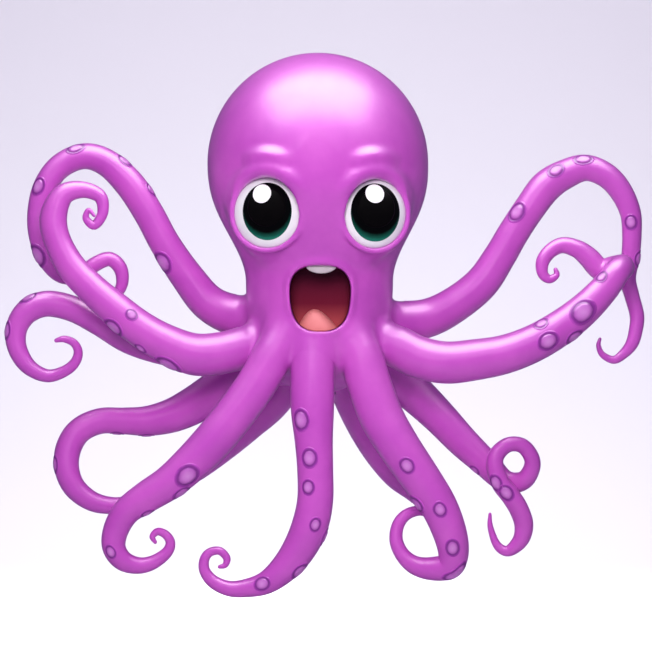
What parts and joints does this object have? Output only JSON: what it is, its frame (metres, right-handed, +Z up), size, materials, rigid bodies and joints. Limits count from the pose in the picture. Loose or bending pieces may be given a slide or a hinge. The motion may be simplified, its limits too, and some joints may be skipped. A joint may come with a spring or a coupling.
{
  "type": "inflatable octopus kite",
  "caption": "Soft inflated octopus show kite with a round head, big eyes, open mouth and long curling suckered arms that bend, flown from a tow eyelet under its belly.",
  "frame": {"origin": "centre of the tow eyelet's hole under the belly", "axes": "+X towards the kite's own left arms, seen on the right from the front; +Z up through the crown; the face looks along -Y"},
  "size_m": [2.3643, 0.8329, 1.9822],
  "materials": {
    "purple_fabric": "coated ripstop nylon, satin, air tight",
    "dark_purple_fabric": "coated nylon, satin",
    "sucker_vinyl": "soft moulded vinyl, satin",
    "eye_white": "gloss vinyl",
    "green_film": "gloss film",
    "black_film": "gloss film",
    "white_film": "gloss film",
    "mouth_fabric": "coated nylon, matt",
    "teeth_vinyl": "gloss vinyl",
    "tongue_fabric": "coated nylon, satin",
    "webbing": "woven nylon webbing, welded patch",
    "plated_brass": "nickel-plated brass",
    "valve_plastic": "moulded TPU",
    "steel_pin": "plain",
    "silicone": "soft"
  },
  "bodies": {
    "body": {"head_skin": "purple_fabric", "arm_roots": "purple_fabric", "brow_folds": "purple_fabric", "eye_rims": "dark_purple_fabric", "eye_white_left": "eye_white", "eye_white_right": "eye_white", "iris_left": "green_film", "iris_right": "green_film", "pupil_left": "black_film", "pupil_right": "black_film", "eye_highlights": "white_film", "mouth_lip": "dark_purple_fabric", "mouth_liner": "mouth_fabric", "upper_teeth": "teeth_vinyl", "tongue": "tongue_fabric", "tow_patch": "webbing", "tow_eyelet": "plated_brass", "valve_body": "valve_plastic", "valve_pin": "steel_pin"},
    "valve_cap": {"valve_cap": "valve_plastic"},
    "valve_flap": {"valve_flap": "silicone"},
    "upper_left_base": {"upper_left_base": "purple_fabric", "upper_left_base_suckers": "sucker_vinyl"},
    "upper_left_end": {"upper_left_end": "purple_fabric", "upper_left_end_suckers": "sucker_vinyl"},
    "middle_left_base": {"middle_left_base": "purple_fabric", "middle_left_base_suckers": "sucker_vinyl"},
    "middle_left_end": {"middle_left_end": "purple_fabric", "middle_left_end_suckers": "sucker_vinyl"},
    "low_left_base": {"low_left_base": "purple_fabric"},
    "low_left_end": {"low_left_end": "purple_fabric", "low_left_end_suckers": "sucker_vinyl"},
    "back_left_base": {"back_left_base": "purple_fabric"},
    "back_left_end": {"back_left_end": "purple_fabric", "back_left_end_suckers": "sucker_vinyl"},
    "front_left_base": {"front_left_base": "purple_fabric"},
    "front_left_end": {"front_left_end": "purple_fabric", "front_left_end_suckers": "sucker_vinyl"},
    "front_centre_base": {"front_centre_base": "purple_fabric", "front_centre_base_suckers": "sucker_vinyl"},
    "front_centre_end": {"front_centre_end": "purple_fabric", "front_centre_end_suckers": "sucker_vinyl"},
    "front_right_base": {"front_right_base": "purple_fabric"},
    "front_right_end": {"front_right_end": "purple_fabric", "front_right_end_suckers": "sucker_vinyl"},
    "back_right_base": {"back_right_base": "purple_fabric"},
    "back_right_end": {"back_right_end": "purple_fabric", "back_right_end_suckers": "sucker_vinyl"},
    "middle_right_base": {"middle_right_base": "purple_fabric"},
    "middle_right_end": {"middle_right_end": "purple_fabric", "middle_right_end_suckers": "sucker_vinyl"},
    "upper_right_base": {"upper_right_base": "purple_fabric"},
    "upper_right_end": {"upper_right_end": "purple_fabric", "upper_right_end_suckers": "sucker_vinyl"},
    "rear_left_base": {"rear_left_base": "purple_fabric"},
    "rear_left_end": {"rear_left_end": "purple_fabric"},
    "rear_right_base": {"rear_right_base": "purple_fabric"},
    "rear_right_end": {"rear_right_end": "purple_fabric"}
  },
  "joints": [
    {"name": "upper_left_root_bend", "type": "hinge", "parent": "body", "child": "upper_left_base", "pos_m": [-0.405, 0.12, 0.39], "axis": [0, 1, 0], "range_deg": [-3, 8], "stiffness_Nm_per_rad": 30},
    {"name": "upper_left_middle_bend", "type": "hinge", "parent": "upper_left_base", "child": "upper_left_end", "pos_m": [-0.7, 0.1, 0.83], "axis": [0, 1, 0], "range_deg": [-6, 10], "stiffness_Nm_per_rad": 10},
    {"name": "middle_left_root_bend", "type": "hinge", "parent": "body", "child": "middle_left_base", "pos_m": [-0.355, -0.11, 0.21], "axis": [0, 1, 0], "range_deg": [-8, 8], "stiffness_Nm_per_rad": 30},
    {"name": "middle_left_middle_bend", "type": "hinge", "parent": "middle_left_base", "child": "middle_left_end", "pos_m": [-0.655, -0.115, 0.3], "axis": [0, 1, 0], "range_deg": [-10, 10], "stiffness_Nm_per_rad": 10},
    {"name": "low_left_root_bend", "type": "hinge", "parent": "body", "child": "low_left_base", "pos_m": [-0.44, 0.06, 0.195], "axis": [0, 1, 0], "range_deg": [-8, 3], "stiffness_Nm_per_rad": 30},
    {"name": "low_left_middle_bend", "type": "hinge", "parent": "low_left_base", "child": "low_left_end", "pos_m": [-0.7, 0.045, 0.255], "axis": [0, 1, 0], "range_deg": [-8, 5], "stiffness_Nm_per_rad": 10},
    {"name": "back_left_root_bend", "type": "hinge", "parent": "body", "child": "back_left_base", "pos_m": [-0.37, 0.205, 0.075], "axis": [0, 1, 0], "range_deg": [-8, 8], "stiffness_Nm_per_rad": 30},
    {"name": "back_left_middle_bend", "type": "hinge", "parent": "back_left_base", "child": "back_left_end", "pos_m": [-0.55, 0.2, -0.025], "axis": [0, 1, 0], "range_deg": [-10, 10], "stiffness_Nm_per_rad": 10},
    {"name": "front_left_root_bend", "type": "hinge", "parent": "body", "child": "front_left_base", "pos_m": [-0.22, -0.205, 0.11], "axis": [0, 1, 0], "range_deg": [-8, 8], "stiffness_Nm_per_rad": 30},
    {"name": "front_left_middle_bend", "type": "hinge", "parent": "front_left_base", "child": "front_left_end", "pos_m": [-0.455, -0.22, -0.18], "axis": [0, 1, 0], "range_deg": [-10, 10], "stiffness_Nm_per_rad": 10},
    {"name": "front_centre_root_bend", "type": "hinge", "parent": "body", "child": "front_centre_base", "pos_m": [-0.025, -0.215, 0.115], "axis": [0, 1, 0], "range_deg": [-8, 8], "stiffness_Nm_per_rad": 30},
    {"name": "front_centre_middle_bend", "type": "hinge", "parent": "front_centre_base", "child": "front_centre_end", "pos_m": [-0.02, -0.24, -0.105], "axis": [0, 1, 0], "range_deg": [-10, 10], "stiffness_Nm_per_rad": 10},
    {"name": "front_right_root_bend", "type": "hinge", "parent": "body", "child": "front_right_base", "pos_m": [0.18, -0.2, 0.1], "axis": [0, 1, 0], "range_deg": [-8, 8], "stiffness_Nm_per_rad": 30},
    {"name": "front_right_middle_bend", "type": "hinge", "parent": "front_right_base", "child": "front_right_end", "pos_m": [0.29, -0.22, -0.13], "axis": [0, 1, 0], "range_deg": [-10, 10], "stiffness_Nm_per_rad": 10},
    {"name": "back_right_root_bend", "type": "hinge", "parent": "body", "child": "back_right_base", "pos_m": [0.345, 0.17, 0.065], "axis": [0, 1, 0], "range_deg": [-8, 8], "stiffness_Nm_per_rad": 30},
    {"name": "back_right_middle_bend", "type": "hinge", "parent": "back_right_base", "child": "back_right_end", "pos_m": [0.53, 0.145, -0.12], "axis": [0, 1, 0], "range_deg": [-10, 10], "stiffness_Nm_per_rad": 10},
    {"name": "middle_right_root_bend", "type": "hinge", "parent": "body", "child": "middle_right_base", "pos_m": [0.36, -0.11, 0.195], "axis": [0, 1, 0], "range_deg": [-8, 8], "stiffness_Nm_per_rad": 30},
    {"name": "middle_right_middle_bend", "type": "hinge", "parent": "middle_right_base", "child": "middle_right_end", "pos_m": [0.78, -0.12, 0.245], "axis": [0, 1, 0], "range_deg": [-10, 10], "stiffness_Nm_per_rad": 10},
    {"name": "upper_right_root_bend", "type": "hinge", "parent": "body", "child": "upper_right_base", "pos_m": [0.402, 0.13, 0.338], "axis": [0, 1, 0], "range_deg": [-8, 8], "stiffness_Nm_per_rad": 30},
    {"name": "upper_right_middle_bend", "type": "hinge", "parent": "upper_right_base", "child": "upper_right_end", "pos_m": [0.72, 0.125, 0.656], "axis": [0, 1, 0], "range_deg": [-10, 10], "stiffness_Nm_per_rad": 10},
    {"name": "rear_left_root_bend", "type": "hinge", "parent": "body", "child": "rear_left_base", "pos_m": [-0.175, 0.25, 0.02], "axis": [0, 1, 0], "range_deg": [-8, 8], "stiffness_Nm_per_rad": 30},
    {"name": "rear_left_middle_bend", "type": "hinge", "parent": "rear_left_base", "child": "rear_left_end", "pos_m": [-0.355, 0.245, -0.14], "axis": [0, 1, 0], "range_deg": [-10, 10], "stiffness_Nm_per_rad": 10},
    {"name": "rear_right_root_bend", "type": "hinge", "parent": "body", "child": "rear_right_base", "pos_m": [0.15, 0.235, -0.025], "axis": [0, 1, 0], "range_deg": [-8, 8], "stiffness_Nm_per_rad": 30},
    {"name": "rear_right_middle_bend", "type": "hinge", "parent": "rear_right_base", "child": "rear_right_end", "pos_m": [0.285, 0.23, -0.245], "axis": [0, 1, 0], "range_deg": [-10, 10], "stiffness_Nm_per_rad": 10},
    {"name": "valve_cap_hinge", "type": "hinge", "parent": "body", "child": "valve_cap", "pos_m": [0, 0.424, 0.939], "axis": [1, 0, 0], "range_deg": [0, 110]},
    {"name": "valve_flap_bend", "type": "hinge", "parent": "body", "child": "valve_flap", "pos_m": [0, 0.376, 0.928], "axis": [-1, 0, 0], "range_deg": [0, 30], "stiffness_Nm_per_rad": 0.05}
  ]
}
